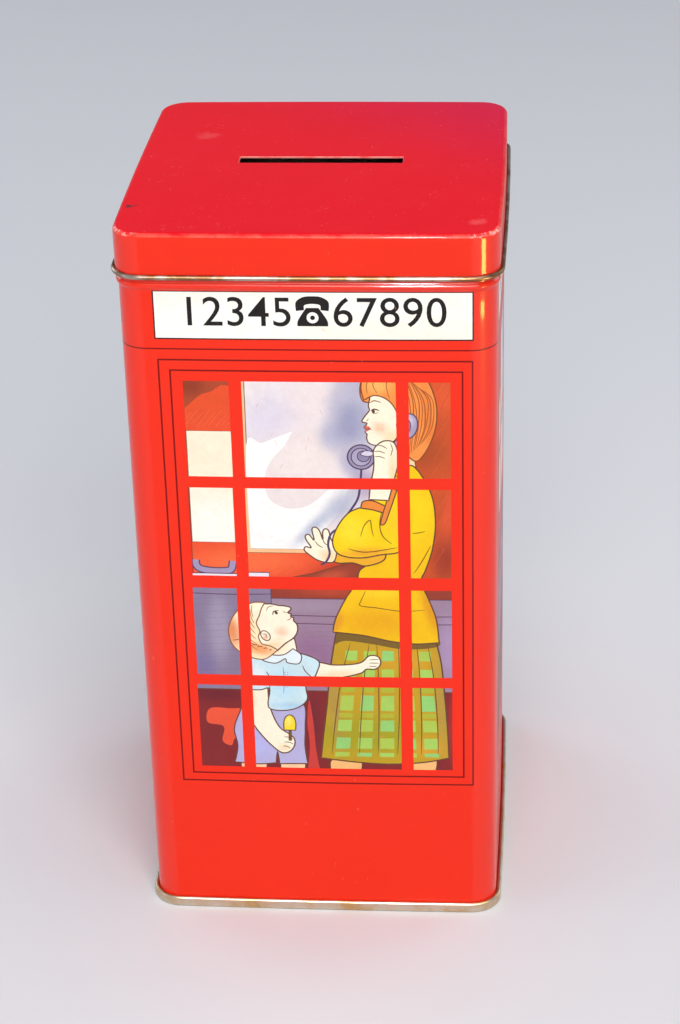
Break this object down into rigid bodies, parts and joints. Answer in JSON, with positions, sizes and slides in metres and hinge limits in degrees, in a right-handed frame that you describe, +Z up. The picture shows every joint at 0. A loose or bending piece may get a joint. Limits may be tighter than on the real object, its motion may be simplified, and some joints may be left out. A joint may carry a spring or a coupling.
{
  "type": "tin money box",
  "caption": "Tall square tinplate money box shaped like a telephone kiosk, with a slip-on lid, a coin slot and a seamed base.",
  "frame": {"origin": "middle of the base, on the surface that the tin stands on", "axes": "+Z up through the lid, -Y out of the printed front, +X to the right of someone facing the front"},
  "size_m": [0.0828, 0.0894, 0.1675],
  "materials": {
    "red_lacquer": "glossy printed lacquer on tinplate",
    "bare_tinplate": "bare tinplate, slightly tarnished"
  },
  "bodies": {
    "tin_body": {"body_shell": "red_lacquer", "base_end": "bare_tinplate"},
    "tin_lid": {"lid": "red_lacquer"}
  },
  "joints": [
    {"name": "lid_lift", "type": "slide", "parent": "tin_body", "child": "tin_lid", "axis": [0, 0, 1], "range_m": [0, 0.04]}
  ]
}
